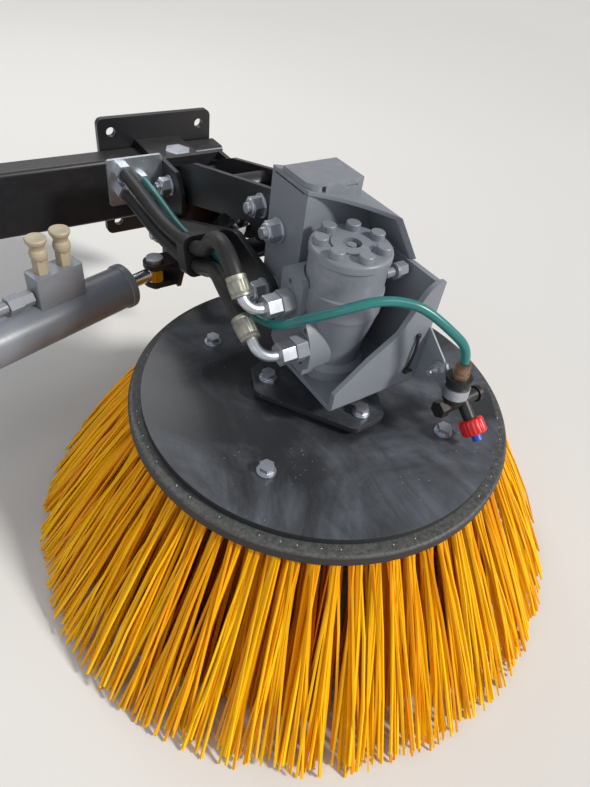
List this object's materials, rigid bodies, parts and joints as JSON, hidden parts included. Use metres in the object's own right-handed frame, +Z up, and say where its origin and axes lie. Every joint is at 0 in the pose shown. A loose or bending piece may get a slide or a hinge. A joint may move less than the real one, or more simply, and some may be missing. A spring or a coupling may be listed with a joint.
{
  "type": "street sweeper side broom with its arm",
  "caption": "Gutter broom of a street sweeper: spinning bristle disc on a hydraulic motor, carried by a parallel-link arm that lifts and swings on a chassis bracket.",
  "frame": {"origin": "centre of the chassis bolt pattern on the mounting face", "axes": "+X the vehicle's forward direction, +Y inboard through the mounting face, +Z up"},
  "size_m": [0.9739, 1.079, 0.561],
  "materials": {
    "grey_paint": "light blue-grey enamel, dusty",
    "black_paint": "black enamel, dusty",
    "disc_paint": "black enamel, scuffed and dusty",
    "zinc": "zinc-plated steel",
    "steel": "ground and chromed steel",
    "ring_plastic": "black polypropylene, dusty",
    "bristle": "orange-yellow polypropylene filament",
    "hose_rubber": "black hose cover",
    "tube_teal": "teal polyurethane tube",
    "black_plastic": "black moulded plastic",
    "red_plastic": "red moulded plastic",
    "blue_plastic": "blue moulded plastic",
    "pale_plastic": "beige plastic dust covers",
    "brown_brass": "tarnished brass ferrule"
  },
  "bodies": {
    "chassis": {"chassis_plate": "black_paint", "chassis_rail": "black_paint", "knuckle_ear_upper": "black_paint", "knuckle_ear_lower": "black_paint", "swing_pin": "zinc", "cylinder_outrigger": "black_paint", "rear_pin": "zinc"},
    "swing_arm": {"swing_bracket": "black_paint", "eye_pin": "zinc", "lift_base_pin": "zinc", "root_pin_upper": "zinc", "root_pins_lower": "zinc", "hose_bulkhead": "zinc"},
    "lower_link": {"lower_link": "black_paint", "hose_clamp": "black_plastic", "hose_upper_rear": "hose_rubber", "hose_lower_rear": "hose_rubber", "water_tube_rear": "tube_teal"},
    "upper_link": {"upper_link": "black_paint", "stop_bolt": "zinc", "lift_lug_pin": "zinc"},
    "head": {"head_channel": "grey_paint", "channel_roof": "grey_paint", "channel_lid": "grey_paint", "motor_bracket": "grey_paint", "motor_housing": "grey_paint", "motor_gearset": "grey_paint", "motor_cap": "grey_paint", "port_adapters": "grey_paint", "elbow_upper": "zinc", "elbow_lower": "zinc", "hose_upper_front": "hose_rubber", "hose_lower_front": "hose_rubber", "water_tube_front": "tube_teal", "nozzle_bracket": "grey_paint", "nozzle_body": "black_plastic", "nozzle_cap": "red_plastic", "nozzle_tip": "blue_plastic", "nozzle_clip": "zinc", "nozzle_ferrule": "brown_brass", "drain_plug": "grey_paint", "head_pin_upper": "zinc", "head_pins_lower": "zinc"},
    "broom": {"hub": "disc_paint", "hub_plate": "disc_paint", "disc_plate": "disc_paint", "hub_bolts": "zinc", "disc_bolts": "zinc", "brush_ring": "ring_plastic", "bristles_outer": "bristle", "bristles_middle": "bristle", "bristles_inner": "bristle"},
    "swing_barrel": {"swing_barrel": "grey_paint", "valve_block": "grey_paint", "valve_fittings": "pale_plastic", "valve_line": "grey_paint"},
    "swing_rod": {"swing_rod": "steel"},
    "lift_barrel": {"lift_barrel": "black_paint"},
    "lift_rod": {"lift_rod": "steel"}
  },
  "joints": [
    {"name": "swing", "type": "hinge", "parent": "chassis", "child": "swing_arm", "pos_m": [0, -0.107, 0], "axis": [0, 0, 1], "range_deg": [-4, 25]},
    {"name": "lift", "type": "hinge", "parent": "swing_arm", "child": "lower_link", "pos_m": [0, -0.208, -0.017], "axis": [-1, 0, 0], "range_deg": [-8, 16], "deforming": ["hose_upper_rear", "hose_lower_rear", "water_tube_rear"]},
    {"name": "head_level", "type": "hinge", "parent": "lower_link", "child": "head", "pos_m": [0, -0.544, 0.072], "axis": [-1, 0, 0], "range_deg": [-17, 9], "deforming": ["hose_upper_front", "hose_lower_front", "water_tube_front"]},
    {"name": "brush_spin", "type": "hinge", "parent": "head", "child": "broom", "pos_m": [-0.0315, -0.652, -0.05], "axis": [0, 0, 1], "continuous": true},
    {"name": "upper_link_pivot", "type": "hinge", "parent": "swing_arm", "child": "upper_link", "pos_m": [0, -0.204, 0.069], "axis": [-1, 0, 0], "range_deg": [-9, 17]},
    {"name": "lift_barrel_pivot", "type": "hinge", "parent": "swing_arm", "child": "lift_barrel", "pos_m": [0, -0.19, -0.072], "axis": [-1, 0, 0], "range_deg": [-6, 11]},
    {"name": "lift_stroke", "type": "slide", "parent": "lift_barrel", "child": "lift_rod", "axis": [0, -0.7552, 0.6555], "range_m": [-0.016, 0.029]},
    {"name": "swing_barrel_pivot", "type": "hinge", "parent": "chassis", "child": "swing_barrel", "pos_m": [-0.54082, -0.33289, -0.103], "axis": [0, 0, 1], "range_deg": [-6, 2]},
    {"name": "swing_stroke", "type": "slide", "parent": "swing_barrel", "child": "swing_rod", "axis": [0.956, 0.2934, 0], "range_m": [-0.008, 0.037]}
  ],
  "couplings": [
    {"joint": "head_level", "follows": "lift", "ratio": -1},
    {"joint": "upper_link_pivot", "follows": "lift", "ratio": 1},
    {"joint": "lift_barrel_pivot", "follows": "lift", "ratio": 0.578},
    {"joint": "lift_stroke", "follows": "lift", "m_per_rad": 0.0926},
    {"joint": "swing_barrel_pivot", "follows": "swing", "ratio": -0.2},
    {"joint": "swing_stroke", "follows": "swing", "m_per_rad": 0.0791}
  ]
}
